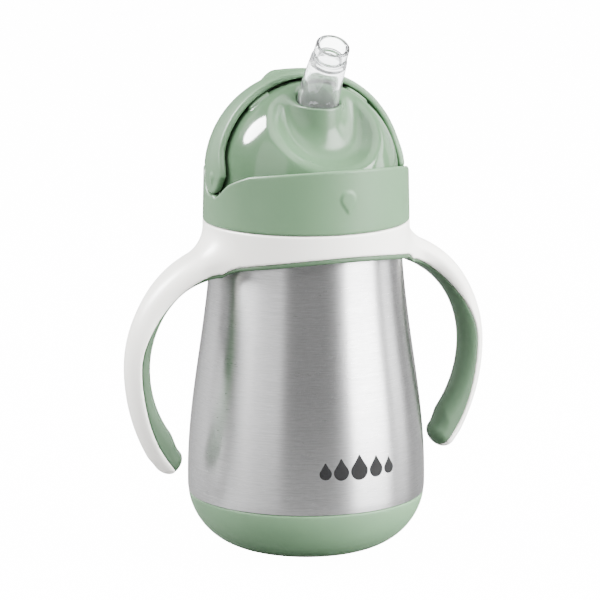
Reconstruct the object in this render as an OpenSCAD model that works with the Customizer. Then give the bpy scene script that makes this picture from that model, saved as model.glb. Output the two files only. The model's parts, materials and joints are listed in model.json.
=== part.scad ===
// Straw cup for a small child: a double-walled steel flask in a soft boot, a two-handled ring
// held down by the screw collar, and a domed spout that a pivoting half-dome hood slides over.
// Origin at the centre of the base, +Z up, the spout towards -Y, handles and hood pivot along X.

/* [Flask] */
// Greatest radius of the steel body
body_r = 42.3; // [41:0.1:43]
// Height where the side stops swelling, above the boot
body_low_z = 26; // [25:0.5:28]
// Radius of the steel body under the shoulder
waist_r = 33.8; // [33.5:0.1:34]
// Height of the shoulder's lower edge
shoulder_z = 108; // [107.5:0.1:108]
// Radius of the steel neck
neck_r = 31; // [30.8:0.1:31]
// Height of the mouth
mouth_z = 126.6; // [126.4:0.1:126.6]
// Thickness of each steel wall
steel_t = 0.6; // [0.4:0.1:0.8]
// Vacuum space between the two walls
vacuum_t = 3; // [2.5:0.5:4]
// Distance between thread ridges
thread_pitch = 3; // [3:0.1:3.1]

/* [Boot] */
// Height of the boot's upper edge
boot_top = 20; // [16:0.5:22]
// Thickness of the boot
boot_t = 1.8; // [1.2:0.1:2.2]
// Radius of the flat foot
foot_r = 19.2; // [18:0.1:20]

/* [Handles] */
// Outer radius of the handle ring
ring_r = 36.6; // [36.4:0.1:37]
// Top of the handle ring
ring_top = 117.8; // [117.5:0.1:117.8]
// Furthest reach of a handle from the axis
grip_x = 69.4; // [68:0.1:72]
// Height where a handle reaches furthest
grip_z = 68.8; // [67:0.1:70]
// Thickness of a handle at that height
grip_t = 9.2; // [8.5:0.1:10]
// Width of a handle, front to back
grip_w = 12; // [11:0.5:13]
// Radii of a handle's outer line, above and below grip_z
outer_arcs = [45, 58];
// Radii of a handle's inner line, above and below grip_z
inner_arcs = [33.7, 42];
// Middle of the rounded tip, X and Z
tip_at = [52.1, 35.5];
// Radius of the rounded tip
tip_r = 5.6; // [5.4:0.1:5.8]
// Radius of the web between the ring and a handle
root_r = 6.5; // [5:0.5:8]

/* [Cap] */
// Bottom of the screw collar
collar_z = 118; // [118:0.1:118.1]
// Radius of the collar at its bottom and at its top
collar_rs = [36.6, 36];
// Height of the hood's pivot axis
pivot_z = 134.5; // [134.3:0.1:134.8]
// Outer radius of the spout dome
dome_r = 32.4; // [32.2:0.1:32.4]
// Wall of the spout dome
dome_t = 2.2; // [1.8:0.1:2.4]
// Tilt of the dished recess, forward from upright
dish_tilt = 43.7; // [42:0.1:45]
// Radius of the recess's bowl
dish_r = 30; // [28:0.5:32]
// Distance of the bowl's centre from the dome's
dish_out = 49; // [48.5:0.1:50]

/* [Hood] */
// Outer radius of the hood
hood_r = 36; // [35.9:0.1:36]
// Wall of the hood
hood_t = 2.4; // [2:0.1:2.4]
// Radius of the round end of each hood arm
arm_r = 6.3; // [6.2:0.1:6.4]
// Middle of that round end, behind and above the pivot axis
arm_at = [1.2, 0.7];
// Angle that the hood turns through to close
hood_travel = 74; // [70:1:74]
// Radius of the hood's pivot pegs
peg_r = 2.5; // [2:0.1:3]
// Radial clearance of the pegs in the dome
peg_gap = 0.06; // [0.02:0.01:0.1]
// Gap between the hood and the collar's rim
rim_gap = 0.4; // [0.3:0.05:0.6]

/* [Straw] */
// Distance of the spout in front of the axis
spout_y = 10; // [9.5:0.1:10.5]
// Outer radius of the spout
spout_r = 8.85; // [8.7:0.05:9]
// Height of the spout's rim
spout_top = 160.2; // [159.5:0.1:160.5]
// Outer radius of the soft straw tip where it leaves the spout, and at its end
tip_rs = [7.4, 6];
// Forward lean of the straw tip
tip_lean = 33; // [28:1:36]
// Length of the leaning part
tip_len = 26.2; // [20:0.1:27]
// Outer radius of the drinking straw
straw_r = 3.5; // [3:0.1:4]

/* [Hidden] */
SAGE = "#93ad93";
STEEL = "#c4c4c4";
CREAM = "#f1f0ec";
CLEAR = "#dfe6ea";
bond = 0.05;
boot_round = body_r - foot_r;
ring_gap = 0.3;
shoulder_r = waist_r - neck_r;
thread_h = 1;
liner_in = steel_t + vacuum_t;
neck_gap = 0.4;
base_r = 15;
shelf_z = mouth_z + 1.4;
dome_z = shelf_z + 1.6;
arm_fillet = 5;
rear_edge = 2.6;
straw_foot = 10.5;
$fn = 96;

// Points of an arc about (x, y), from angle a to angle b
function arc(x, y, r, a, b, n = 16) = [for (i = [0:n]) [x + r * cos(a + (b - a) * i / n),
                                                        y + r * sin(a + (b - a) * i / n)]];

// Point at share t of the curve that leaves p for q and r and ends at s
function bezier(p, q, r, s, t) = p * pow(1 - t, 3) + q * 3 * t * pow(1 - t, 2)
                               + r * 3 * t * t * (1 - t) + s * pow(t, 3);

// Side of the flask from its flat foot up to the neck, moved inwards by d
function side(d) = concat(arc(foot_r, boot_round, boot_round - d, -90, 0),
    [for (i = [0:24]) bezier([body_r - d, body_low_z], [body_r - d, body_low_z + 28],
                             [waist_r + 2 - d, shoulder_z - 32], [waist_r - d, shoulder_z], i / 24)]);

// Solid of revolution under a list of [radius, height] points that starts and ends away from the axis
module lathe(points) rotate_extrude($fn = 128)
    polygon(concat([[0, points[0][1]]], points, [[0, points[len(points) - 1][1]]]));

// The flask's outside without its boot, moved inwards by d
module flask_body(d) {
    top = shoulder_z + shoulder_r;
    lathe(concat(side(d), arc(neck_r, shoulder_z, shoulder_r - d, 0, 90, 8), [[neck_r - d, top - d]],
                 [[neck_r - d, mouth_z]]));
}

// A ring of square section, from height z to z + h
module ring(r_in, r_out, z, h) translate([0, 0, z]) difference() {
    cylinder(h = h, r = r_out);
    translate([0, 0, -1]) cylinder(h = h + 2, r = r_in);
}

// A low rounded ridge that runs round the axis, its crest facing out or in
module ridge(r, z, out) rotate_extrude() polygon([[r - out * 0.2, z - 0.9], [r, z - 0.9],
    [r + out * thread_h, z - 0.3], [r + out * thread_h, z + 0.3], [r, z + 0.9], [r - out * 0.2, z + 0.9]]);

// A round bar along Y, centred on y = 0
module bar(x, z, r, w) translate([x, 0, z]) rotate([90, 0, 0]) cylinder(h = w, r = r, center = true);

// Everything below height z
module below(z) translate([-100, -100, z - 200]) cube([200, 200, 200]);

// Everything above height z
module above(z) translate([-100, -100, z]) cube([200, 200, 200]);

module outer_shell() color(STEEL) {
    difference() {
        union() {
            difference() {
                flask_body(0);
                below(boot_top);
            }
            intersection() {
                flask_body(boot_t);
                below(boot_top + 0.1);
            }
            for (i = [0:2]) ridge(neck_r, mouth_z - 1.6 - i * thread_pitch, 1);
        }
        flask_body(boot_t + steel_t);
        difference() {
            flask_body(steel_t);
            below(boot_top + 0.8);
        }
        cylinder(h = 10, r = base_r);
    }
}

module inner_liner() color(STEEL) difference() {
    lathe(liner(liner_in));
    difference() {
        lathe(liner(liner_in + steel_t));
        above(mouth_z + 1);
    }
    translate([0, 0, shoulder_z]) cylinder(h = 40, r = neck_r - 2 * steel_t - neck_gap);
}

// Outline of the liner, moved inwards by d from the flask's outside
function liner(d) = let (n = neck_r - d + vacuum_t - neck_gap)
    concat(arc(foot_r, boot_round + boot_t + 1, boot_round - d, -90, 0),
    [for (i = [0:24]) bezier([body_r - d, body_low_z + 3], [body_r - d, body_low_z + 28],
                             [waist_r + 2 - d, shoulder_z - 32], [waist_r - d, shoulder_z - 6], i / 24)],
    [[n, shoulder_z + 2], [n, mouth_z]]);

module shell_base() color(STEEL) translate([0, 0, boot_t + 0.05]) cylinder(h = steel_t, r = base_r - 0.1);

module vacuum_getter() color("dimgray") translate([0, 0, boot_t + steel_t + 0.1]) cylinder(h = 1.6, r = 4);

module base_boot() color(SAGE) difference() {
    intersection() {
        flask_body(0);
        below(boot_top - bond);
    }
    flask_body(boot_t - bond);
}

// One handle as seen from the front, w wide, between its outer line and a line m of the way in
module handle(w, from, to) {
    // Centres of the line that lies a share s of the thickness in from the outer line
    function line_r(k, s) = outer_arcs[k] + (inner_arcs[k] - outer_arcs[k]) * s;
    function line_x(k, s) = grip_x - grip_t * s - line_r(k, s);
    module under_line(s, d) {
        intersection() {
            bar(line_x(0, s), grip_z, line_r(0, s) + d, w + 2);
            above(grip_z);
        }
        intersection() {
            bar(line_x(1, s), grip_z, line_r(1, s) + d, w + 2);
            below(grip_z);
        }
    }
    intersection() {
        union() {
            difference() {
                translate([waist_r - 2, -w / 2, 30]) cube([50, w, 90]);
                translate([tip_at[0], 0, tip_at[1]]) rotate([0, 38.5, 0]) translate([-40, -20, -60])
                    cube([80, 40, 60]);
                under_line(1, 0);
            }
            bar(tip_at[0], tip_at[1], tip_r, w);
        }
        under_line(0, 0);
        difference() {
            translate([waist_r - 2, -w / 2, 20]) cube([50, w, 100]);
            if (to < 1) under_line(to, 0);
        }
        if (from > 0) under_line(from, -bond);
    }
}

// Both handles, one each side
module both() {
    children();
    mirror([1, 0, 0]) children();
}

// Lower arch of the ring as a solid that runs right through along Y, moved down by d
module arch(d) translate([0, 0, 96 - d]) rotate([90, 0, 0])
    linear_extrude(height = 100, center = true)
        polygon(concat(arc_arch(), [[40, -99], [-40, -99]]));
function arc_arch() = [for (a = [180:-7.5:0]) [40 * cos(a), 13.8 * sin(a)]];

// Space that the neck and the shoulder take in the ring
module neck_space() {
    low = waist_r + ring_gap + 0.5;
    translate([0, 0, shoulder_z]) cylinder(h = 30, r = neck_r + thread_h + neck_gap);
    rotate_extrude($fn = 128) polygon(concat([[0, 90], [low + 0.6, 90], [low, 100]],
        arc(neck_r + ring_gap, shoulder_z + ring_gap, shoulder_r + 0.5, 0, 90, 8),
        [[neck_r + ring_gap, 130], [0, 130]]));
}

// Web that fills the corner between the ring's side and a handle's outer line
module root_fillet() {
    line_x = grip_x - outer_arcs[0];
    reach = outer_arcs[0] + root_r;
    out = ring_r + root_r - line_x;
    up = sqrt(reach * reach - out * out);
    difference() {
        translate([34, 0.5 - grip_w / 2, 107.6])
            cube([line_x + out * outer_arcs[0] / reach - 34, grip_w - 1, ring_top - 107.6]);
        bar(ring_r + root_r, grip_z + up, root_r, 30);
    }
}

module handle_yoke() color(CREAM) difference() {
    union() {
        difference() {
            cylinder(h = ring_top, r = ring_r, $fn = 128);
            arch(0);
        }
        both() handle(grip_w, 0, 0.5);
        both() root_fillet();
    }
    neck_space();
}

module grip_liner() color(SAGE) difference() {
    union() {
        difference() {
            intersection() {
                arch(bond);
                cylinder(h = ring_top, r = ring_r - 0.1, $fn = 128);
            }
            arch(1.7);
            for (s = [-1, 1]) translate([s * 41, 0, 100]) cube([20, grip_w + 0.2, 60], center = true);
        }
        difference() {
            both() handle(grip_w - 1, 0.5, 1);
            difference() {
                cylinder(h = ring_top, r = ring_r + bond, $fn = 128);
                arch(bond);
            }
        }
    }
    neck_space();
}

module cap_seal() color("white") ring(28.6, 31.8, mouth_z + bond, shelf_z - mouth_z - 2 * bond);

// Front edge of the hood's side view at height z above the pivot
function hood_front(z) = -1.4 - 3.7 * pow(max(0, 1 - z / 32), 2);

// Side view of the hood about its pivot: y back, z up, grown by g. The arm's round end runs into
// the level rear edge through a fillet.
function hood_side(g) = let (f = arm_fillet - g, r = arm_r + g, e = rear_edge - g, rise = e - f - arm_at[1],
                             along = sqrt(pow(r + f, 2) - pow(rise, 2)), a = atan2(rise, along))
    concat(arc(arm_at[0], arm_at[1], r, 180, 360 + a), arc(arm_at[0] + along, e - f, f, 180 + a, 90, 8),
           [[60, e], [60, 60], [hood_front(60) - g, 60]], [for (z = [36:-4:4]) [hood_front(z) - g, z]]);

// That side view as a solid that runs along X, turned forward by a
module hood_cut(g, a) translate([0, 0, pivot_z]) rotate([a, 0, 0]) rotate([90, 0, 90])
    linear_extrude(height = 90, center = true) polygon(hood_side(g));

module screw_collar() color(SAGE) difference() {
    union() {
        difference() {
            rotate_extrude($fn = 128) polygon(concat([[33, collar_z]],
                arc(collar_rs[0] - 0.8, collar_z + 0.8, 0.8, -90, 0, 6),
                arc(collar_rs[1] - 0.8, 145, 0.8, 0, 90, 6), [[33, 145.8]]));
            for (i = [0:4]) hood_cut(rim_gap, i * hood_travel / 4);
        }
        difference() {
            ring(28.6, 33.2, shelf_z, 1.6);
            both() translate([32.6, 0, pivot_z]) rotate([0, 90, 0]) cylinder(h = 2, r = arm_r + 1.1);
        }
        for (i = [0:1]) ridge(33.1, mouth_z - 3.1 - i * thread_pitch, -0.75);
        intersection() {
            translate([0, -collar_rs[1] - 0.9, 129.8]) rotate([-90, 0, 0]) union() {
                cylinder(h = 4, r = 2.9);
                rotate([0, 0, 45]) cube([3.7, 3.7, 4]);
            }
            cylinder(h = 200, r = collar_rs[1] + 0.8);
        }
    }
}

module dome_ball(r) translate([0, 0, pivot_z]) sphere(r = r, $fn = 128);

// The bowl of the recess, grown by g
module dish(g) translate([0, 0, pivot_z]) rotate([dish_tilt, 0, 0]) translate([0, 0, dish_out])
    sphere(r = dish_r + g, $fn = 128);

// The dome's solid, moved inwards by d
module dome_solid(d) difference() {
    union() {
        intersection() {
            dome_ball(dome_r - d);
            above(pivot_z);
        }
        cylinder(h = pivot_z, r = dome_r - d, $fn = 128);
    }
    dish(d);
}

// Two low guide lugs on the dome, which the hood slides over
module lugs() both() intersection() {
    dome_ball(dome_r + 0.8);
    translate([15, -2.6, pivot_z + 20]) cube([7.5, 4.2, 20]);
}

module spout_dome() color(SAGE) difference() {
    union() {
        difference() {
            dome_solid(0);
            dome_solid(dome_t);
        }
        lugs();
        translate([0, -spout_y, pivot_z + 4]) cylinder(h = spout_top - pivot_z - 4, r = spout_r);
    }
    translate([0, -spout_y, 0]) cylinder(h = 200, r = 7.6);
    translate([0, -spout_y, spout_top + 0.3]) rotate([tip_lean, 0, 0])
        cylinder(h = 20, r = tip_rs[0] + 0.1);
    translate([0, 0, pivot_z]) rotate([0, 90, 0]) cylinder(h = 90, r = peg_r + peg_gap, center = true);
    translate([0, 0, pivot_z]) rotate([-35, 0, 0]) cylinder(h = 50, r = 1.6, $fn = 32);
    below(dome_z);
}

module mouthpiece() color(CLEAR) translate([0, -spout_y, 0]) difference() {
    union() {
        translate([0, 0, 127]) cylinder(h = 12, r = 5.5);
        translate([0, 0, pivot_z + 2]) cylinder(h = 1.7, r = 9.4);
        translate([0, 0, pivot_z + 2]) cylinder(h = 19.4, r = 7.5);
    }
    translate([0, 0, 120]) cylinder(h = 17, r = straw_r + 0.05);
    translate([0, 0, 130]) cylinder(h = 30, r = 3);
    translate([0, 0, 150]) cylinder(h = 10, r = 4.6);
}

module straw_tube() color(CLEAR) translate([0, -spout_y, straw_foot]) difference() {
    cylinder(h = pivot_z + 2 - straw_foot, r = straw_r, $fn = 48);
    translate([0, 0, -1]) cylinder(h = pivot_z, r = straw_r - 0.9, $fn = 48);
    translate([0, 0, -1.5]) rotate([25, 0, 0]) cube([20, 20, 3], center = true);
}

module vent_valve() color("white") translate([0, 0, pivot_z]) rotate([-35, 0, 0]) {
    translate([0, 0, dome_r - dome_t - 0.4]) cylinder(h = dome_t, r = 1.5, $fn = 32);
    translate([0, 0, dome_r - dome_t - 1.6]) cylinder(h = 1.3, r = 3.6, $fn = 32);
}

module hood() color(SAGE) union() {
    difference() {
        union() {
            intersection() {
                union() {
                    dome_ball(hood_r);
                    translate([0, 0, pivot_z - 20]) cylinder(h = 20, r = hood_r, $fn = 128);
                }
                hood_cut(0, 0);
            }
            translate([0, 0, pivot_z]) rotate([-25, 0, 0]) translate([0, 0, hood_r - 1]) rotate([0, 90, 0]) {
                cylinder(h = 15, r = 2.8, center = true, $fn = 32);
                for (s = [-7.5, 7.5]) translate([0, 0, s]) sphere(r = 2.8, $fn = 32);
            }
        }
        dome_ball(hood_r - hood_t);
        cylinder(h = pivot_z, r = hood_r - hood_t, $fn = 128);
    }
    both() translate([dome_r - dome_t + 0.2, 0, pivot_z]) rotate([0, 90, 0])
        cylinder(h = hood_r - dome_r + dome_t - 1, r = peg_r);
}

// The straw tip's solid, moved inwards by d and made e longer at each end
module tip_solid(d, e) {
    translate([0, -spout_y, spout_top - 3.8 - e]) cylinder(h = 4.1 + e, r = tip_rs[0] - d);
    translate([0, -spout_y, spout_top + 0.3]) {
        sphere(r = tip_rs[0] - d + 0.15);
        rotate([tip_lean, 0, 0]) cylinder(h = tip_len + e, r1 = tip_rs[0] - d, r2 = tip_rs[1] - d);
    }
}

module straw_tip() color(CLEAR) difference() {
    tip_solid(0, 0);
    tip_solid(1.2, 1);
    below(spout_top - 3.8);
}

outer_shell();
inner_liner();
shell_base();
vacuum_getter();
base_boot();
handle_yoke();
grip_liner();
cap_seal();
screw_collar();
spout_dome();
mouthpiece();
straw_tube();
vent_valve();
hood();
straw_tip();
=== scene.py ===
import json
import math

import bpy
import numpy as np
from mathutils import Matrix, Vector


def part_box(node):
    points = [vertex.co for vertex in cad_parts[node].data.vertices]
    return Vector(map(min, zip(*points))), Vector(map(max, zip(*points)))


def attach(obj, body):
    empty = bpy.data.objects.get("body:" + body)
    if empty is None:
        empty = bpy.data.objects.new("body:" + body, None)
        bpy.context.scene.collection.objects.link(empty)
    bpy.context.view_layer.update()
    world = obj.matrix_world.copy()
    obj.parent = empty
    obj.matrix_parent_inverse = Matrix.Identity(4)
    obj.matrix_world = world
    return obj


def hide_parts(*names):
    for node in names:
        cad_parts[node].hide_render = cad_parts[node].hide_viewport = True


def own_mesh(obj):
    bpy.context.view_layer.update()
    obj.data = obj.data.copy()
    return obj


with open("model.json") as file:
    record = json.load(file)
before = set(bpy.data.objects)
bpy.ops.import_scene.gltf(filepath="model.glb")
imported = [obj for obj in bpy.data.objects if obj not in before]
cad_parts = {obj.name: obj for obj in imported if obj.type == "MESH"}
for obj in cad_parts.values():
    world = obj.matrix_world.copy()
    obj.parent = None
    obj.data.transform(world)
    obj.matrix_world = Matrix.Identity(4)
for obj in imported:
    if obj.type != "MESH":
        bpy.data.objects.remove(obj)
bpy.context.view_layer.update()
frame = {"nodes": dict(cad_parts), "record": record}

MM = 0.001

# ---------------------------------------------------------------- sizes in mm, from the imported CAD
X, Y, Z = 0, 1, 2
LOW, HIGH = 0, 1


def limit(node, corner, axis):
    """One face of a CAD node's box, in mm."""
    return round(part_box(node)[corner][axis] / MM, 2)


JOINT = {j["name"]: j for j in frame["record"]["behaviour"]["joints"]}
PIVOT = round(JOINT["hood_pivot"]["pos_m"][Z] / MM, 2)
TRAVEL = JOINT["hood_pivot"]["range_deg"][HIGH]
SPOUT_Y = round(JOINT["straw_fold"]["pos_m"][Y] / MM, 2)
BELLY_R = limit("outer_shell", HIGH, Y)
MOUTH_Z = limit("outer_shell", HIGH, Z)
BOOT_TOP = limit("base_boot", HIGH, Z) + 0.05
RING_R = limit("handle_yoke", HIGH, Y)
RING_TOP = limit("handle_yoke", HIGH, Z)
COLLAR_Z = limit("screw_collar", LOW, Z)
COLLAR_R = limit("screw_collar", HIGH, X)
DOME_R = limit("spout_dome", HIGH, X)
DOME_Z = limit("spout_dome", LOW, Z)
HOOD_R = limit("hood", HIGH, X)
STRAW_R = limit("straw_tube", HIGH, X)
SOCKET_Z = limit("mouthpiece", LOW, Z)
SOCKET_TOP = limit("mouthpiece", HIGH, Z)
TIP_Z = limit("straw_tip", LOW, Z)
SPOUT_TOP = TIP_Z + 3.8

# Walls, gaps and outlines
DOME_T = 2.2
HOOD_T = 2.4
SPOUT_R = 8.85
RIM_GAP = 0.4
REAR_EDGE = 2.6
ARM_R = 6.3
ARM_AT = (1.2, 0.7)
PEG_R = 2.5
GRIP_Z = 68.8
TIP_AT = (54.0, 34.8)
TIP_R = 6.1
TIP_LEAN = math.radians(38.5)


# ---------------------------------------------------------------- signed distances
def dist(*c):
    """Length of the vector with these components."""
    return np.sqrt(sum(a * a for a in c))


def join(a, b, r):
    """Union with a fillet of radius r."""
    u, v = np.maximum(r - a, 0), np.maximum(r - b, 0)
    return np.maximum(r, np.minimum(a, b)) - np.sqrt(u * u + v * v)


def meet(a, b, r):
    """Intersection with a rounded edge of radius r."""
    u, v = np.maximum(r + a, 0), np.maximum(r + b, 0)
    return np.minimum(-r, np.maximum(a, b)) + np.sqrt(u * u + v * v)


def tilt(y, z, deg):
    """Coordinates in a frame that leans forward by deg about the X axis."""
    c, s = math.cos(math.radians(deg)), math.sin(math.radians(deg))
    return y * c + z * s, -y * s + z * c


def ease(x, a, b):
    """Smooth step from 0 at a to 1 at b."""
    t = np.clip((x - a) / (b - a), 0, 1)
    return t * t * (3 - 2 * t)


def capsule(x, y, z, a, b, r):
    """Round bar from a to b."""
    d = [q - p for p, q in zip(a, b)]
    n = sum(v * v for v in d)
    t = np.clip(((x - a[0]) * d[0] + (y - a[1]) * d[1] + (z - a[2]) * d[2]) / n, 0, 1)
    return dist(x - a[0] - t * d[0], y - a[1] - t * d[1], z - a[2] - t * d[2]) - r


# ---------------------------------------------------------------- meshes
def finish_mesh(name, verts, faces, sharp=None):
    """Smooth-shaded mesh object; edges sharper than sharp degrees stay crisp."""
    me = bpy.data.meshes.new(name)
    me.from_pydata(np.asarray(verts, float).tolist(), [], [tuple(int(i) for i in f) for f in faces])
    me.validate()
    for p in me.polygons:
        p.use_smooth = True
    if sharp is not None:
        me.set_sharp_from_angle(angle=math.radians(sharp))
    o = bpy.data.objects.new(name, me)
    bpy.context.collection.objects.link(o)
    return o


RELAX_ROUNDS = 3


def implicit(name, f, lo, hi, step):
    """Smooth closed mesh of the solid where f is negative: a grid of quads pulled onto the surface."""
    ax = [np.arange(a, b + step, step) for a, b in zip(lo, hi)]
    n = [len(a) for a in ax]
    val = np.broadcast_to(f(ax[0][:, None, None], ax[1][None, :, None], ax[2][None, None, :]), n)
    inside = val < 0
    count = sum(
        inside[i : n[0] - 1 + i, j : n[1] - 1 + j, k : n[2] - 1 + k].astype(np.int8)
        for i in (0, 1) for j in (0, 1) for k in (0, 1)
    )
    cells = np.argwhere((count > 0) & (count < 8))
    index = np.full([m - 1 for m in n], -1, np.int64)
    index[tuple(cells.T)] = np.arange(len(cells))
    total, hits = np.zeros((len(cells), 3)), np.zeros(len(cells))
    faces = []
    for axis in range(3):
        u, v = [(1, 2), (2, 0), (0, 1)][axis]
        for du in (0, 1):
            for dv in (0, 1):
                a = cells.copy()
                a[:, u] += du
                a[:, v] += dv
                b = a.copy()
                b[:, axis] += 1
                fa, fb = val[tuple(a.T)], val[tuple(b.T)]
                cross = (fa < 0) != (fb < 0)
                t = np.where(cross, fa / np.where(cross, fa - fb, 1), 0)
                p = a.astype(float)
                p[:, axis] += t
                total += p * cross[:, None]
                hits += cross
        first = [slice(None)] * 3
        second = [slice(None)] * 3
        first[axis], second[axis] = slice(0, -1), slice(1, None)
        change = inside[tuple(first)] != inside[tuple(second)]
        edge = np.argwhere(change)
        edge = edge[(edge[:, u] > 0) & (edge[:, v] > 0) & (edge[:, u] < n[u] - 1) & (edge[:, v] < n[v] - 1)]
        quad = []
        for du, dv in ((-1, -1), (0, -1), (0, 0), (-1, 0)):
            c = edge.copy()
            c[:, u] += du
            c[:, v] += dv
            quad.append(index[tuple(c.T)])
        quad = np.stack(quad, 1)
        flip = ~inside[tuple(edge.T)]
        quad[flip] = quad[flip][:, ::-1]
        faces.append(quad)
    faces = np.concatenate(faces)
    base = np.array([a[0] for a in ax])
    pts = base + step * total / hits[:, None]

    def grad(p, h=0.02):
        g = np.empty_like(p)
        for i in range(3):
            d = np.zeros(3)
            d[i] = h
            q, r = (p + d).T, (p - d).T
            g[:, i] = (f(*q) - f(*r)) / (2 * h)
        return g

    def project(p, rounds):
        for _ in range(rounds):
            g = grad(p)
            s = f(*p.T) / np.maximum((g * g).sum(1), 0.05)
            p = p - np.clip(s, -step, step)[:, None] * g
        return p

    pts = project(pts, 2)
    around = np.bincount(faces.ravel(), minlength=len(pts)) * 2.0
    for _ in range(RELAX_ROUNDS):
        mean = np.zeros_like(pts)
        for i in range(4):
            for j in (1, 3):
                np.add.at(mean, faces[:, i], pts[faces[:, (i + j) % 4]])
        pts = project(pts + 0.5 * (mean / around[:, None] - pts), 1)
    pts = project(pts, 1)
    return finish_mesh(name, pts * MM, faces)


def lathe(name, profile, segments, sharp):
    """Solid of revolution under (radius, height) points in mm, from the axis back to the axis."""
    pr = np.array(profile, float)
    turn = np.arange(segments) * 2 * math.pi / segments
    verts, row = [], []
    for r, z in pr:
        if r < 1e-6:
            row.append([len(verts)] * segments)
            verts.append((0, 0, z))
        else:
            row.append(list(range(len(verts), len(verts) + segments)))
            verts.extend((r * math.cos(t), r * math.sin(t), z) for t in turn)
    faces = []
    for a, b in zip(row, row[1:]):
        for k in range(segments):
            m = (k + 1) % segments
            f = [a[k], a[m], b[m], b[k]]
            f = [v for q, v in enumerate(f) if v not in f[:q]]
            if len(f) > 2:
                faces.append(f)
    return finish_mesh(name, np.array(verts) * MM, faces, sharp)


def arc(x, z, r, a, b, n):
    """Points on a circle about (x, z), from angle a to angle b in degrees."""
    return [(x + r * math.cos(math.radians(a + (b - a) * i / n)),
             z + r * math.sin(math.radians(a + (b - a) * i / n))) for i in range(n + 1)]


def bezier(p, q, r, s, n):
    """Points on a cubic curve from p to s."""
    out = []
    for i in range(n + 1):
        t = i / n
        w = ((1 - t) ** 3, 3 * t * (1 - t) ** 2, 3 * t * t * (1 - t), t ** 3)
        out.append(tuple(sum(a * b[k] for a, b in zip(w, (p, q, r, s))) for k in (0, 1)))
    return out


# ---------------------------------------------------------------- materials
class Shader:
    """A node material with a Principled shader and a few short-hands."""

    def __init__(self, name, **sockets):
        self.mat = bpy.data.materials.new(name)
        self.mat.use_nodes = True
        self.tree = self.mat.node_tree
        self.bsdf = self.tree.nodes["Principled BSDF"]
        for k, v in sockets.items():
            self.bsdf.inputs[k.replace("_", " ")].default_value = v
        self.coord = self.tree.nodes.new("ShaderNodeTexCoord").outputs["Object"]

    def node(self, kind, **inputs):
        n = self.tree.nodes.new(kind)
        for k, v in inputs.items():
            s = n.inputs[k.replace("_", " ")]
            if isinstance(v, bpy.types.NodeSocket):
                self.tree.links.new(v, s)
            else:
                s.default_value = v
        return n

    def scaled(self, x, y, z):
        n = self.node("ShaderNodeMapping", Vector=self.coord)
        n.inputs["Scale"].default_value = (x, y, z)
        return n.outputs[0]

    def noise(self, scale, detail=2, rough=0.5, vector=None):
        return self.node("ShaderNodeTexNoise", Vector=vector or self.coord, Scale=scale, Detail=detail,
                         Roughness=rough).outputs["Fac"]

    def range(self, value, low, high, a=0.3, b=0.7):
        n = self.node("ShaderNodeMapRange", Value=value)
        for i, v in enumerate((a, b, low, high)):
            n.inputs[i + 1].default_value = v
        return n.outputs[0]

    def math(self, op, a, b):
        n = self.tree.nodes.new("ShaderNodeMath")
        n.operation = op
        for i, v in enumerate((a, b)):
            if isinstance(v, bpy.types.NodeSocket):
                self.tree.links.new(v, n.inputs[i])
            else:
                n.inputs[i].default_value = v
        return n.outputs[0]

    def mix(self, fac, a, b):
        n = self.tree.nodes.new("ShaderNodeMix")
        n.data_type = "RGBA"
        if isinstance(fac, bpy.types.NodeSocket):
            self.tree.links.new(fac, n.inputs[0])
        else:
            n.inputs[0].default_value = fac
        for k, v in ((6, a), (7, b)):
            if isinstance(v, bpy.types.NodeSocket):
                self.tree.links.new(v, n.inputs[k])
            else:
                n.inputs[k].default_value = (*v, 1)
        return n.outputs[2]

    def bump(self, height, strength, distance):
        return self.node("ShaderNodeBump", Height=height, Strength=strength, Distance=distance * MM)

    def set(self, socket, value):
        self.tree.links.new(value, self.bsdf.inputs[socket])


def moulded(name, colour, rough, grain=900, depth=0.01, spread=0.05, wave=0.0, share=None, **sockets):
    """Moulded plastic or rubber: slow colour and gloss changes, a fine skin texture and soft unevenness.

    share gives the part of the roughness that each place keeps."""
    s = Shader(name, **sockets)
    slow = s.noise(35, 3)
    dark = [c * (1 - spread) for c in colour]
    light = [min(c * (1 + spread), 1) for c in colour]
    s.set("Base Color", s.mix(s.range(slow, 0, 1), dark, light))
    fine = s.noise(grain, 3, 0.6)
    gloss = s.math("ADD", s.range(s.noise(80.5, 4), rough * 0.9, rough * 1.1), s.range(fine, -0.02, 0.02))
    s.set("Roughness", s.math("MULTIPLY", gloss, share(s)) if share else gloss)
    skin = s.bump(fine, 0.35, depth)
    if wave:
        big = s.bump(s.noise(28, 1), 0.5, wave)
        s.tree.links.new(big.outputs[0], skin.inputs["Normal"])
    s.set("Normal", skin.outputs[0])
    return s.mat


def ball_gloss(s):
    """Share of the roughness: low on the dome's ball, high in the recess sunk into it."""
    d = s.tree.nodes.new("ShaderNodeVectorMath")
    d.operation = "DISTANCE"
    s.tree.links.new(s.coord, d.inputs[0])
    d.inputs[1].default_value = (0, 0, PIVOT * MM)
    return s.range(d.outputs["Value"], 0.8, 0.33, (DOME_R - 1.6) * MM, (DOME_R - 0.2) * MM)


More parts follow.
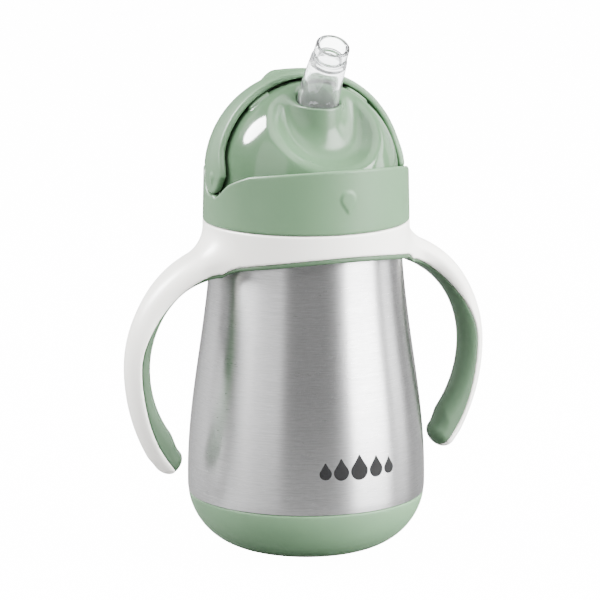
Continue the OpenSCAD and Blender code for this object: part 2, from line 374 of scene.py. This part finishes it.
def brushed(name, colour, rough, anisotropic):
    """Steel brushed round the axis: long fine streaks in gloss, colour and height."""
    s = Shader(name, Metallic=1.0, Anisotropic=anisotropic, Anisotropic_Rotation=0.25)
    fine = s.noise(1, 3, 0.65, s.scaled(95, 95, 6500))
    wide = s.noise(1, 3, 0.6, s.scaled(30, 30, 2000))
    short = s.noise(1, 2, 0.5, s.scaled(320, 320, 5200))
    lines = s.math("ADD", s.math("MULTIPLY", fine, 0.45),
                   s.math("ADD", s.math("MULTIPLY", wide, 0.17), s.math("MULTIPLY", short, 0.38)))
    dark = [c * 0.8 for c in colour]
    light = [min(c * 1.16, 1) for c in colour]
    s.set("Base Color", s.mix(s.range(lines, 0, 1, 0.36, 0.64), dark, light))
    s.set("Roughness", s.range(lines, rough * 1.2, rough * 0.8, 0.36, 0.64))
    s.set("Normal", s.bump(lines, 0.22, 0.01).outputs[0])
    t = s.tree.nodes.new("ShaderNodeTangent")
    t.direction_type = "RADIAL"
    t.axis = "Z"
    s.set("Tangent", t.outputs[0])
    return s.mat


def silicone(name, colour, rough, transmission, dense):
    """Clear rubber that greys with depth."""
    s = Shader(name, Transmission_Weight=transmission, IOR=1.41)
    slow = s.noise(60, 3)
    s.set("Base Color", s.mix(s.range(slow, 0, 1), [c * 0.985 for c in colour], colour))
    s.set("Roughness", s.range(s.noise(140, 3), rough * 0.7, rough * 1.3))
    s.set("Normal", s.bump(s.noise(220, 2), 0.25, 0.02).outputs[0])
    v = s.node("ShaderNodeVolumeAbsorption", Density=dense)
    v.inputs["Color"].default_value = (0.50, 0.52, 0.53, 1)
    s.tree.links.new(v.outputs[0], s.tree.nodes["Material Output"].inputs["Volume"])
    return s.mat


def tint(colour, k):
    return [c * k for c in colour]


SAGE = (0.092, 0.168, 0.094)
MATERIAL = {
    "brushed_steel": brushed("steel_brushed", (0.47, 0.47, 0.475), 0.33, 0.86),
    "getter_metal": moulded("getter_dull", (0.35, 0.35, 0.37), 0.55, Metallic=1.0),
    "sage_soft": moulded("sage_soft_touch", tint(SAGE, 1.3), 0.5, grain=1500, depth=0.012,
                         Specular_IOR_Level=0.35),
    "sage_satin": moulded("sage_satin_shell", SAGE, 0.4, grain=1300, depth=0.006, wave=0.02,
                          Specular_IOR_Level=0.24),
    "sage_gloss": moulded("sage_polished", tint(SAGE, 0.79), 0.3, depth=0.003, spread=0.03, wave=0.02,
                          share=ball_gloss, Specular_IOR_Level=0.42),
    "cream_plastic": moulded("cream_handles", (0.885, 0.868, 0.82), 0.38, grain=1200, depth=0.008,
                             spread=0.015),
    "white_silicone": moulded("white_seal", (0.78, 0.79, 0.79), 0.42, grain=1000, spread=0.02),
    "clear_silicone": silicone("clear_tip", (0.86, 0.868, 0.865), 0.07, 0.95, 230.0),
}
# Painted shade: a darker copy of the soft-touch sage, about half as bright, that stands in for the shade on
# the handles' inner sides
GRIP = moulded("sage_grip_painted_shade", tint(SAGE, 0.62), 0.55, grain=1500, depth=0.012, Specular_IOR_Level=0.3)
PRINT = moulded("grey_print", (0.009, 0.009, 0.0095), 0.6, grain=2500, depth=0.004, spread=0.1,
                Specular_IOR_Level=0.15)


def dress(o, slot, body, *nodes, mat=None):
    """Gives a new piece its finish and its CAD body, in place of CAD nodes."""
    o.data.materials.append(mat or MATERIAL[slot])
    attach(o, body)
    if nodes:
        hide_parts(*nodes)
    return o


# ---------------------------------------------------------------- flask
FOOT_R = 23.1
SHOULDER_Z, SHOULDER_R = 108, 2.8
NECK_R, NECK_IN = 31, 30.4
SHELL_IN, CAVITY_IN, BOOT_IN = 1.8, 2.4, 1.75
RIDGE = ((0, -0.95), (0.55, -0.75), (0.95, -0.35), (1, 0), (0.95, 0.35), (0.55, 0.75), (0, 0.95))


def side(d):
    """Half outline of the flask, moved inwards by d: foot arc, then the slim upper curve."""
    foot = arc(BELLY_R - FOOT_R, FOOT_R, FOOT_R - d, -90, 0, 26)
    curve = bezier((BELLY_R - d, 26), (BELLY_R - d, 54), (35.8 - d, 76), (33.8 - d, SHOULDER_Z), 48)
    return foot + curve


def radius_at(z):
    """Outer radius of the flask at height z."""
    pts = side(0)
    return float(np.interp(z, [p[1] for p in pts], [p[0] for p in pts]))


thread = [(NECK_R + out, z + up) for z in (119.0, 122.0, 125.0) for out, up in RIDGE]
seam_z = BOOT_TOP + 0.12
seam_r = radius_at(seam_z)
seam = [(seam_r - 0.3, seam_z), (seam_r - 0.06, seam_z + 0.08)]
body = [p for p in side(0) if p[1] > BOOT_TOP + 0.5]
tucked = [p for p in side(SHELL_IN) if p[1] < BOOT_TOP - 0.4]
cavity = [p for p in side(CAVITY_IN)[::-1] if 3 < p[1] < 106]
shell = ([(0, SHELL_IN), (10, SHELL_IN)] + tucked + [(tucked[-1][0], seam_z)] + seam + body
         + arc(NECK_R, SHOULDER_Z, SHOULDER_R, 8, 82, 8) + [(NECK_R, SHOULDER_Z + SHOULDER_R)] + thread
         + [(NECK_R, MOUTH_Z - 0.4)] + arc(NECK_R - 0.3, MOUTH_Z - 0.3, 0.3, 0, 90, 4)
         + [(NECK_IN, MOUTH_Z), (NECK_IN, 110)] + cavity + [(0, CAVITY_IN)])
dress(lathe("steel_flask", shell, 224, 30), "brushed_steel", "flask", "outer_shell")

edge_z = BOOT_TOP - 0.6
edge_r = radius_at(edge_z)
skin, backing = ([p for p in side(d) if p[1] < edge_z] for d in (0, BOOT_IN))
foot_hollow = [(0, 0.9), (14.2, 0.9), (14.8, 0.75), (15.3, 0.1), (15.8, 0.0)]
boot = (foot_hollow + skin + arc(edge_r - 0.55, edge_z, 0.55, 0, 90, 6)[1:]
        + [(edge_r - 1.7, BOOT_TOP - 0.05)] + backing[::-1] + [(0, BOOT_IN)])
dress(lathe("soft_boot", boot, 192, 40), "sage_soft", "flask", "base_boot")


# ---------------------------------------------------------------- handles
# Widest place of each line, and how far from the axis its upper and lower arcs have their centres
OUTER = (68.9, 25.8, 3.1)
INNER = (60.2, 26.5, 20.5)
ARCH_TOP = 109.8
ARCH_DROPS = ((5.3, 2.15), (2.3, 14))
STRIP = 1.75
ROOT_FILLET = 7.5
# Where the ring ends and the handle begins, as distances from the middle plane
ROOT_FROM, ROOT_TO = 34.5, 42


def crescent(x, z, line):
    """Negative inside a line of two arcs that meet at its widest place."""
    widest, up, down = line
    centre = np.where(z > GRIP_Z, up, down)
    return dist(x - centre, z - GRIP_Z) - (widest - centre)


def parting(x, z):
    """Negative on the inner side of the line where cream meets green."""
    share = 0.34 + 0.11 * ease(z, 38, 62) + 0.38 * ease(z, 70, 98)
    return (1 - share) * crescent(x, z, OUTER) + share * crescent(x, z, INNER)


def arch_gap(x, z, low):
    """Positive above the ring's lower arch; low gives the underside of the green strip below it."""
    s = np.minimum(np.abs(x) / RING_R, 1)
    height = ARCH_TOP - sum(d * s ** n for d, n in ARCH_DROPS) - low * (STRIP - 0.5 * s ** 6)
    slope = sum(d * n * s ** (n - 1) for d, n in ARCH_DROPS) / RING_R
    return (z - height) / np.sqrt(1 + slope * slope)


def lower_line(ax, z, low, line):
    """The arch on the ring, which turns into a line along the handle."""
    w = ease(ax, ROOT_FROM, ROOT_TO)
    return (1 - w) * arch_gap(ax, z, low) + w * line


def tip_frame(x, z):
    """Distance past the middle of the tip along the handle, and distance inwards from it."""
    c, s = math.cos(TIP_LEAN), math.sin(TIP_LEAN)
    u, v = x - TIP_AT[0], z - TIP_AT[1]
    return -u * s - v * c, -u * c + v * s


def tip_round(x, z):
    """Positive outside the tip's half round end, and looser up along the handle."""
    along, inwards = tip_frame(x, z)
    end = dist(np.maximum(along, 0), inwards) - TIP_R - np.minimum(along, 0) ** 2 / 14
    return np.where(z > 60, -20.0, end)


def neck_room(x, y, z):
    """Negative in the space that the flask's shoulder and neck take, with a small gap."""
    r = dist(x, y)
    body = np.maximum(r - 34.2 - 0.35 * np.clip((SHOULDER_Z - z) / 10, 0, 1), z - 108.4)
    shoulder = dist(np.maximum(r - 31.3, 0), np.maximum(z - 108.3, 0)) - 3.3
    return np.minimum(np.minimum(body, np.maximum(shoulder, SHOULDER_Z - z)), r - 32.4)


def arms(ax, y, z, slim):
    """Both handles from their outer line inwards, with an oval section and rounded ends."""
    wide = 6.5 - slim + 2.2 * ease(z, 86, 108)
    plan = meet(np.abs(y) - wide, tip_frame(ax, z)[0] - TIP_R, 6.0)
    return np.maximum(meet(crescent(ax, z, OUTER), 0.7 * plan, 4.6 - slim), 30 - ax)


def whole(x, y, z, slim):
    """Ring and both handles, cream and green together, their sides moved inwards by slim."""
    ax = np.abs(x)
    solid = join(dist(x, y) - RING_R + slim, arms(ax, y, z, slim), ROOT_FILLET)
    low = lower_line(ax, z, 1, crescent(ax, z, INNER))
    inside = meet(-low, tip_round(ax, z), 3.0)
    solid = meet(solid, inside, 0.4 + 4.0 * ease(ax, 36, 50))
    return meet(solid, -neck_room(x, y, z), 0.25)


def cream_line(x, z):
    """Positive above the line where cream meets green."""
    ax = np.abs(x)
    return lower_line(ax, z, 0, parting(ax, z))


def yoke(x, y, z):
    return meet(meet(whole(x, y, z, 0), -cream_line(x, z), 0.4), z - RING_TOP, 0.6)


def liner(x, y, z):
    return meet(whole(x, y, z, 0.25), cream_line(x, z), 0.25)


handles = implicit("handle_ring", yoke, (-70.5, -38, 28.5), (70.5, 38, 118.5), 0.62)
dress(handles, "cream_plastic", "handles", "handle_yoke")
soft = implicit("grip_inlay", liner, (-66, -38, 28.5), (66, 38, 112), 0.55)
# The liner wears the darker copy of its soft-touch sage: painted shade for the handles' shaded inner sides
dress(soft, "sage_soft", "handles", "grip_liner", mat=GRIP)


# ---------------------------------------------------------------- hood and collar
FRONT_Y, FRONT_SWEEP, SWEEP_Z = -1.4, 4.0, 32
ARM_FILLET = 5.0
RIDGE_LEAN, RIDGE_HALF, RIDGE_R = -25, 5.5, 3.2
RIM_LEAN = math.radians(10)
SHELF_Z = 128.8


def hood_outline(y, z):
    """Negative inside the hood's side view; y and z are measured from its pivot."""
    t = np.maximum(1 - z / SWEEP_Z, 0)
    front = FRONT_Y - FRONT_SWEEP * t ** 2
    steep = np.sqrt(1 + (2 * FRONT_SWEEP / SWEEP_Z * t) ** 2)
    arm = dist(y - ARM_AT[0], z - ARM_AT[1]) - ARM_R
    return join(arm, np.maximum((front - y) / steep, REAR_EDGE - z), ARM_FILLET)


def drop_mark(u, v, r, tall):
    """A drop of radius r at the top that narrows to a point tall mm below its middle."""
    end = 0.25
    b = (r - end) / tall
    a = math.sqrt(1 - b * b)
    u, v = np.abs(u), -v
    k = -u * b + v * a
    return np.where(k < 0, dist(u, v) - r, np.where(k > a * tall, dist(u, v - tall) - end, u * a + v * b - r))


def hood_form(x, y, z):
    zz = z - PIVOT
    r = dist(x, y, np.maximum(zz, 0))
    wall = np.abs(r - HOOD_R + HOOD_T / 2) - HOOD_T / 2
    shell = meet(wall, hood_outline(y, zz), 0.75)
    ty, tz = tilt(y, zz, RIDGE_LEAN)
    reach = HOOD_R - 1.9
    ridge = capsule(x, ty, tz, (-RIDGE_HALF, 0, reach), (RIDGE_HALF, 0, reach), RIDGE_R)
    shell = join(shell, ridge, 4.0)
    shell = np.maximum(shell, HOOD_R - HOOD_T - r)
    ax = np.abs(x)
    peg = meet(dist(y, zz) - PEG_R, np.maximum(30.4 - ax, ax - 35), 0.3)
    mark = meet(drop_mark(y, zz - 0.5, 1.4, 2.3), np.abs(ax - 35.4) - 1.0, 0.35)
    return join(np.minimum(shell, peg), mark, 0.4)


def collar_form(x, y, z):
    zz = z - PIVOT
    r = dist(x, y)
    cone = r - (COLLAR_R - 0.6 * (z - COLLAR_Z) / 27.8)
    wall = meet(cone, 33 - r, 0.3)
    cut = np.maximum(y, -y * math.sin(RIM_LEAN) - zz * math.cos(RIM_LEAN))
    for turn in range(5):
        cut = np.minimum(cut, hood_outline(*tilt(y, zz, turn * TRAVEL / 4)))
    wall = meet(wall, RIM_GAP - cut, 0.75)
    wall = meet(wall, COLLAR_Z - z, 0.5)
    shelf = np.maximum(np.maximum(r - 33.2, 28.6 - r), np.abs(z - SHELF_Z) - 0.8)
    shelf = np.maximum(shelf, np.minimum(np.abs(x) - 32.6, 8.0 - dist(y, zz)))
    solid = join(wall, shelf, 0.6)
    for h in (123.5, 120.5):
        ridge = np.maximum(dist(np.maximum(32.75 - r, 0) * 1.3, z - h) - 0.62, r - 33.4)
        solid = join(solid, ridge, 0.2)
    mark = meet(drop_mark(x, z - 130.3, 2.75, 4.6), np.abs(r - 35.6) - 1.2, 0.6)
    return join(solid, np.where(y < 0, mark, 9.0), 0.5)


hood = implicit("hood_shell", hood_form, (-37.5, -9, 126), (37.5, 38.5, 172.5), 0.55)
dress(hood, "sage_satin", "hood", "hood")
collar = implicit("screw_collar_shell", collar_form, (-38, -38.2, 116.5), (38, 38, 143), 0.52)
dress(collar, "sage_satin", "cap", "screw_collar")


# ---------------------------------------------------------------- dome with its recess and spout
BOWL_LEAN, BOWL_AT, BOWL_R = 43.7, 49.0, 30.0
LUG_AT, LUG_HALF = 18.75, 3.75
STRAW_ROOM, PEG_ROOM, VENT_R, VENT_LEAN = 7.6, PEG_R + 0.06, 1.6, -35


def bowl(x, y, z, wall):
    """Negative in the ball that hollows the recess, which is larger by the wall."""
    ty, tz = tilt(y, z - PIVOT, BOWL_LEAN)
    return dist(x, ty, tz - BOWL_AT) - BOWL_R - wall


def dome_form(x, y, z):
    zz = z - PIVOT
    r = dist(x, y, np.maximum(zz, 0))
    skin = meet(r - DOME_R, -bowl(x, y, z, 0), 3.0)
    side_on = np.abs(np.abs(x) - LUG_AT) - LUG_HALF
    lug = np.maximum(np.maximum(side_on, np.abs(y + 0.5) - 2.1), np.maximum(r - 33.2, 31 - r))
    skin = join(skin, meet(np.maximum(lug, -zz), side_on, 0.6), 0.5)
    sy = y - SPOUT_Y
    sr = dist(x, sy)
    top = SPOUT_TOP - 0.9 * np.exp(-((sy + 7.5) / 4.5) ** 2 - (x / 6.5) ** 2)
    tube = np.maximum(meet(sr - SPOUT_R, z - top, 0.45), PIVOT + 4 - z)
    skin = join(skin, tube, 7.0)
    hollow = np.maximum(r - DOME_R + DOME_T, -bowl(x, y, z, DOME_T))
    solid = meet(skin, -np.maximum(hollow, -(sr - SPOUT_R - 0.3) * (zz > 6)), 0.4)
    solid = meet(solid, STRAW_ROOM - sr, 0.35)
    solid = np.maximum(solid, PEG_ROOM - dist(y, zz))
    vy, vz = tilt(y, zz, VENT_LEAN)
    solid = np.maximum(solid, np.where(vz > 0, VENT_R - dist(x, vy), -9))
    return meet(solid, DOME_Z + 0.05 - z, 0.4)


dome = implicit("spout_dome_shell", dome_form, (-33.8, -33.8, 128.8), (33.8, 33.8, 168.2), 0.5)
dress(dome, "sage_gloss", "cap", "spout_dome")


# ---------------------------------------------------------------- straw tip and mouthpiece
SWEEP_SIDES = 72


def sweep(name, path, rings):
    """Closed surface through rings of (distance along the path, radius), leaning with the path."""
    verts, faces = [], []
    n, m = len(rings), SWEEP_SIDES
    turn = np.arange(m) * 2 * math.pi / m
    for s, r in rings:
        p, lean = path(s)
        c, w = math.cos(lean), math.sin(lean)
        for t in turn:
            u, v = r * math.cos(t), r * math.sin(t)
            verts.append((u, p[0] + v * c, p[1] + v * w))
    for i in range(n):
        j = (i + 1) % n
        for k in range(m):
            o = (k + 1) % m
            faces.append([i * m + k, i * m + o, j * m + o, j * m + k])
    return finish_mesh(name, np.array(verts) * MM, faces, 50)


LEAN = math.radians(33)
BEND_R = 14.0
START = TIP_Z + 0.2
STRAIGHT = 1.2
LONG = 29.2
BAND = LONG - 6
RIM_ROUND = 0.55
FLANGE = limit("straw_tube", HIGH, Z)


def straw_path(s):
    """Point (y, z) and lean of the tip's middle line, s mm from its foot."""
    bend = BEND_R * LEAN
    if s <= STRAIGHT:
        return (SPOUT_Y, START + s), 0.0
    if s <= STRAIGHT + bend:
        a = (s - STRAIGHT) / BEND_R
        return (SPOUT_Y - BEND_R * (1 - math.cos(a)), START + STRAIGHT + BEND_R * math.sin(a)), a
    e = s - STRAIGHT - bend
    y = SPOUT_Y - BEND_R * (1 - math.cos(LEAN)) - e * math.sin(LEAN)
    return (y, START + STRAIGHT + BEND_R * math.sin(LEAN) + e * math.cos(LEAN)), LEAN


def out_r(s):
    """Outer radius of the tip, s mm from its foot."""
    return 7.4 - 1.1 * ease(s, 3, LONG)


rim_r = out_r(LONG) - 0.3
outside = [(s, out_r(s)) for s in np.linspace(0, BAND - 0.6, 26)]
outside += [(BAND - 0.2, out_r(BAND - 0.4) - 0.02), (BAND + 0.1, out_r(BAND) - 0.28),
            (BAND + 0.6, out_r(BAND) - 0.36)]
outside += [(s, out_r(s) - 0.34) for s in np.linspace(BAND + 1.2, LONG - 0.9, 5)]
rim = [(LONG - RIM_ROUND + RIM_ROUND * math.sin(a), rim_r - RIM_ROUND + RIM_ROUND * math.cos(a))
       for a in np.linspace(0.1, 1.5, 5)]
bore = [(LONG - 0.1, rim_r - 1.05), (LONG - 0.5, rim_r - 1.4)]
bore += [(s, rim_r - 1.45) for s in np.linspace(LONG - 1.2, BAND + 0.8, 4)]
bore += [(BAND + 0.4, rim_r - 1.6), (BAND + 0.1, rim_r - 2.1), (BAND - 0.4, rim_r - 2.2),
         (BAND - 1, rim_r - 1.9)]
bore += [(s, out_r(s) - 1.35) for s in np.linspace(BAND - 2, 0, 22)]
straw = sweep("straw_tip_soft", straw_path, outside + rim + bore)
dress(straw, "clear_silicone", "straw", "straw_tip")
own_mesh(straw)

socket = [(SOCKET_Z + 0.4, 5.5), (FLANGE - 0.3, 5.5), (FLANGE, 5.8), (FLANGE, 9.1), (FLANGE + 0.3, 9.4),
          (FLANGE + 1.4, 9.4), (FLANGE + 1.7, 9.1), (FLANGE + 1.7, 7.8), (FLANGE + 2, 7.5),
          (SOCKET_TOP - 0.4, 7.5), (SOCKET_TOP - 0.1, 7.4), (SOCKET_TOP, 7.1), (SOCKET_TOP, 4.95),
          (SOCKET_TOP - 0.3, 4.65), (150.3, 4.6), (150.0, 4.3), (150.0, 3.2), (149.8, 3.0),
          (FLANGE + 0.7, 3.0), (FLANGE + 0.5, 3.2), (FLANGE + 0.5, STRAW_R + 0.05),
          (SOCKET_Z + 0.3, STRAW_R + 0.05), (SOCKET_Z, STRAW_R + 0.3), (SOCKET_Z, 5.2)]
base = sweep("mouthpiece_soft", lambda z: ((SPOUT_Y, z), 0.0), socket)
dress(base, "clear_silicone", "cap", "mouthpiece")
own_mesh(base)


# ---------------------------------------------------------------- printed mark
# Place round the flask and size of each drop, the height that they stand on, and the print's section
DROPS = ((-10.6, 2.2), (-4.9, 2.8), (1.9, 3.3), (8.7, 2.8), (14.4, 2.2))
DROPS_Z = 34.3
DROP_POINTS = 36
INK = ((1.0, -0.25), (1.0, 0.02), (0.92, 0.035), (0.6, 0.035), (0.3, 0.035))


def mark_loop(u0, v0, r):
    """Outline of a drop with its point up, in mm on the flask's side."""
    pts = []
    for i in range(DROP_POINTS):
        t = 2 * math.pi * i / DROP_POINTS
        lift = max(math.sin(t), 0) ** 2.6
        pts.append((u0 + r * math.cos(t) * (1 - 0.62 * lift), v0 + r * math.sin(t) * (1 + 0.75 * lift)))
    return pts


def printed(name, loops):
    """Thin closed layer of ink inside each outline, curved round the flask."""
    verts, faces = [], []
    for loop in loops:
        n = len(loop)
        u0, v0 = np.mean(loop, axis=0)
        rows = []
        for share, depth in INK:
            rows.append(len(verts))
            for u, v in loop:
                uu, vv = u0 + (u - u0) * share, v0 + (v - v0) * share
                r = radius_at(vv)
                a = uu / r
                verts.append(((r + depth) * math.sin(a), -(r + depth) * math.cos(a), vv))
        for i in range(len(rows) - 1):
            for k in range(n):
                m = (k + 1) % n
                faces.append([rows[i] + k, rows[i] + m, rows[i + 1] + m, rows[i + 1] + k])
        faces.append([rows[-1] + k for k in range(n)])
        faces.append([rows[0] + k for k in range(n)][::-1])
    return finish_mesh(name, np.array(verts) * MM, faces, 40)


mark = printed("printed_drops", [mark_loop(u, DROPS_Z + 0.3 * r, r) for u, r in DROPS])
dress(mark, "brushed_steel", "flask", mat=PRINT)

# ---------------------------------------------------------------- CAD nodes that stay
for part in frame["record"]["subparts"]:
    node = frame["nodes"][part["node"]]
    if not node.hide_render:
        node.data.materials.clear()
        node.data.materials.append(MATERIAL[part["material_slot"]])

# ---------------------------------------------------------------- stage, light and camera
AZ = math.radians(-23.7)
EL = math.radians(11.4)
FAR = 1.450
AIM_UP, AIM_RIGHT = 0.0883, -0.00215
LIGHT_AIM = Vector((0, 0, 0.09))
SENSOR = 36
LENS = 4090 / 600 * SENSOR


def away(azimuth, elevation):
    """Unit vector from the object; azimuth 0 points to the front, -Y, and grows to the camera's right."""
    return Vector((math.sin(azimuth) * math.cos(elevation), -math.cos(azimuth) * math.cos(elevation),
                   math.sin(elevation)))


def softbox(name, turn, up, far, w, h, watts):
    """Area light: turn in degrees from the camera's side, up in degrees above the floor."""
    light = bpy.data.lights.new(name, "AREA")
    light.shape = "RECTANGLE"
    light.size, light.size_y, light.energy = w, h, watts
    o = bpy.data.objects.new(name, light)
    bpy.context.collection.objects.link(o)
    d = away(AZ + math.radians(turn), math.radians(up))
    o.location = LIGHT_AIM + d * far
    o.rotation_mode = "QUATERNION"
    o.rotation_quaternion = d.to_track_quat("Z", "Y")
    return o


softbox("key_right", 67, 14, 1.6, 1.15, 1.9, 185)
softbox("side_right", 106, 24, 1.6, 0.5, 1.5, 22)
softbox("fill_left", -46, 12, 1.7, 1.3, 1.8, 18)
softbox("top", -20, 78, 1.5, 1.3, 1.3, 30)
softbox("back_left", -130, 20, 1.8, 1.1, 1.5, 12)
softbox("back_right", 150, 18, 1.8, 1.4, 1.5, 10)
window = softbox("window_left", -98, 42, 1.3, 0.44, 0.76, 150)
window.visible_diffuse = False
window.data.shape = "ELLIPSE"
for sky in [softbox("sky_left", -82, 40, 1.5, 1.2, 1.2, 76), softbox("sky_right", 95, 45, 1.5, 1.0, 1.0, 36)]:
    sky.visible_glossy = False


def seen_bright(tree, dim, bright):
    """Strength that is bright where it is looked at, also through clear rubber, and dim as a light."""
    path = tree.nodes.new("ShaderNodeLightPath")
    seen = tree.nodes.new("ShaderNodeMath")
    seen.operation = "MAXIMUM"
    tree.links.new(path.outputs["Is Camera Ray"], seen.inputs[0])
    tree.links.new(path.outputs["Transmission Depth"], seen.inputs[1])
    level = tree.nodes.new("ShaderNodeMapRange")
    level.inputs["To Min"].default_value = dim
    level.inputs["To Max"].default_value = bright
    tree.links.new(seen.outputs[0], level.inputs["Value"])
    return level.outputs[0]


world = bpy.data.worlds.new("studio")
bpy.context.scene.world = world
world.use_nodes = True
wt = world.node_tree
wt.links.new(seen_bright(wt, 0.22, 16.0), wt.nodes["Background"].inputs["Strength"])

bpy.ops.mesh.primitive_plane_add(size=12, location=(0, 0, -0.0004))
floor = bpy.context.object
floor.name = "floor"
pale = bpy.data.materials.new("floor_pale")
pale.use_nodes = True
ft = pale.node_tree
fb = ft.nodes["Principled BSDF"]
fb.inputs["Base Color"].default_value = (0.12, 0.12, 0.12, 1)
fb.inputs["Roughness"].default_value = 0.7
fb.inputs["Emission Color"].default_value = (1, 1, 1, 1)
ft.links.new(seen_bright(ft, 0.0, 15.0), fb.inputs["Emission Strength"])
floor.data.materials.append(pale)

cam = bpy.data.cameras.new("camera")
cam.sensor_width = SENSOR
cam.lens = LENS
cam_o = bpy.data.objects.new("camera", cam)
bpy.context.collection.objects.link(cam_o)
view_from = away(AZ, EL)
right = Vector((math.cos(AZ), math.sin(AZ), 0))
cam_o.location = Vector((0, 0, AIM_UP)) + right * AIM_RIGHT + view_from * FAR
cam_o.rotation_mode = "QUATERNION"
cam_o.rotation_quaternion = view_from.to_track_quat("Z", "Y")
cam.clip_start, cam.clip_end = 0.05, 30
bpy.context.scene.camera = cam_o
